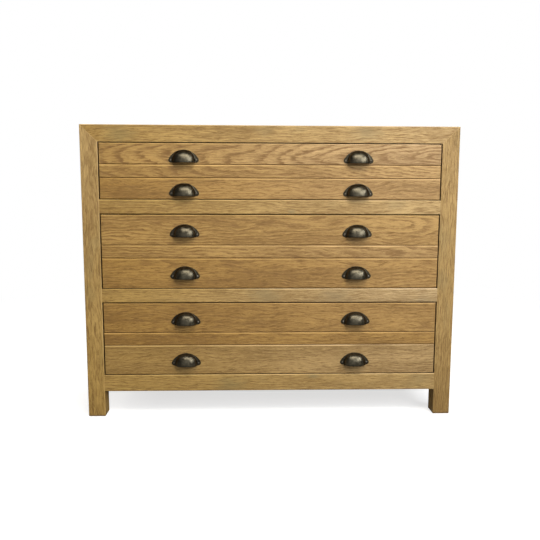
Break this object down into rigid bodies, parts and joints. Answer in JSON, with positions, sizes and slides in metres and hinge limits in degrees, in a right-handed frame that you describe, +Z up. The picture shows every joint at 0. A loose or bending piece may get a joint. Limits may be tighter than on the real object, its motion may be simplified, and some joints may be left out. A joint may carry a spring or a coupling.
{
  "type": "flat file cabinet",
  "caption": "Wide oak plan chest with a mitred frame, panelled sides and shallow full-width drawers on ball-bearing slides, opened by dark cup pulls.",
  "frame": {"origin": "on the floor, at the middle of the whole chest's box with its pulls", "axes": "+X to the right as seen from the front, +Y to the back, +Z up; the drawers open towards -Y"},
  "size_m": [1.2, 0.525, 0.945],
  "materials": {
    "oak_frame": "waxed rustic oak, satin",
    "oak_front": "waxed rustic oak, satin",
    "oak_panel": "waxed rustic oak, satin",
    "drawer_wood": "plain sanded hardwood",
    "plywood": "plain oak-faced plywood",
    "softwood": "planed softwood, unfinished",
    "slide_steel": "zinc-plated steel",
    "antique_bronze": "dark antique bronze with rubbed highlights",
    "screw_metal": "bronzed steel"
  },
  "bodies": {
    "carcass": {"front_left_post": "oak_frame", "front_right_post": "oak_frame", "back_left_post": "oak_frame", "back_right_post": "oak_frame", "top_front_rail": "oak_frame", "top_back_rail": "oak_frame", "top_left_rail": "oak_frame", "top_right_rail": "oak_frame", "upper_divider_rail": "oak_frame", "lower_divider_rail": "oak_frame", "bottom_front_rail": "oak_frame", "bottom_back_rail": "oak_frame", "bottom_left_rail": "oak_frame", "bottom_right_rail": "oak_frame", "top_panel": "oak_panel", "left_side_panel": "oak_panel", "right_side_panel": "oak_panel", "back_panel": "plywood", "floor_panel": "plywood", "left_slide_battens": "softwood", "right_slide_battens": "softwood", "upper_slide_outer_channels": "slide_steel", "middle_slide_outer_channels": "slide_steel", "lower_slide_outer_channels": "slide_steel"},
    "upper_drawer": {"upper_drawer_front": "oak_front", "upper_drawer_left_side": "drawer_wood", "upper_drawer_right_side": "drawer_wood", "upper_drawer_back": "drawer_wood", "upper_drawer_bottom": "plywood", "upper_drawer_high_left_pull": "antique_bronze", "upper_drawer_high_right_pull": "antique_bronze", "upper_drawer_low_left_pull": "antique_bronze", "upper_drawer_low_right_pull": "antique_bronze", "upper_drawer_pull_screws": "screw_metal", "upper_slide_inner_channels": "slide_steel"},
    "upper_slide_middles": {"upper_slide_middle_channels": "slide_steel"},
    "middle_drawer": {"middle_drawer_front": "oak_front", "middle_drawer_left_side": "drawer_wood", "middle_drawer_right_side": "drawer_wood", "middle_drawer_back": "drawer_wood", "middle_drawer_bottom": "plywood", "middle_drawer_high_left_pull": "antique_bronze", "middle_drawer_high_right_pull": "antique_bronze", "middle_drawer_low_left_pull": "antique_bronze", "middle_drawer_low_right_pull": "antique_bronze", "middle_drawer_pull_screws": "screw_metal", "middle_slide_inner_channels": "slide_steel"},
    "middle_slide_middles": {"middle_slide_middle_channels": "slide_steel"},
    "lower_drawer": {"lower_drawer_front": "oak_front", "lower_drawer_left_side": "drawer_wood", "lower_drawer_right_side": "drawer_wood", "lower_drawer_back": "drawer_wood", "lower_drawer_bottom": "plywood", "lower_drawer_high_left_pull": "antique_bronze", "lower_drawer_high_right_pull": "antique_bronze", "lower_drawer_low_left_pull": "antique_bronze", "lower_drawer_low_right_pull": "antique_bronze", "lower_drawer_pull_screws": "screw_metal", "lower_slide_inner_channels": "slide_steel"},
    "lower_slide_middles": {"lower_slide_middle_channels": "slide_steel"}
  },
  "joints": [
    {"name": "upper_drawer_slide", "type": "slide", "parent": "carcass", "child": "upper_drawer", "axis": [0, -1, 0], "range_m": [0, 0.45]},
    {"name": "upper_middle_channel_slide", "type": "slide", "parent": "carcass", "child": "upper_slide_middles", "axis": [0, -1, 0], "range_m": [0, 0.225]},
    {"name": "middle_drawer_slide", "type": "slide", "parent": "carcass", "child": "middle_drawer", "axis": [0, -1, 0], "range_m": [0, 0.45]},
    {"name": "middle_middle_channel_slide", "type": "slide", "parent": "carcass", "child": "middle_slide_middles", "axis": [0, -1, 0], "range_m": [0, 0.225]},
    {"name": "lower_drawer_slide", "type": "slide", "parent": "carcass", "child": "lower_drawer", "axis": [0, -1, 0], "range_m": [0, 0.45]},
    {"name": "lower_middle_channel_slide", "type": "slide", "parent": "carcass", "child": "lower_slide_middles", "axis": [0, -1, 0], "range_m": [0, 0.225]}
  ],
  "couplings": [
    {"joint": "upper_middle_channel_slide", "follows": "upper_drawer_slide", "ratio": 0.5},
    {"joint": "middle_middle_channel_slide", "follows": "middle_drawer_slide", "ratio": 0.5},
    {"joint": "lower_middle_channel_slide", "follows": "lower_drawer_slide", "ratio": 0.5}
  ]
}
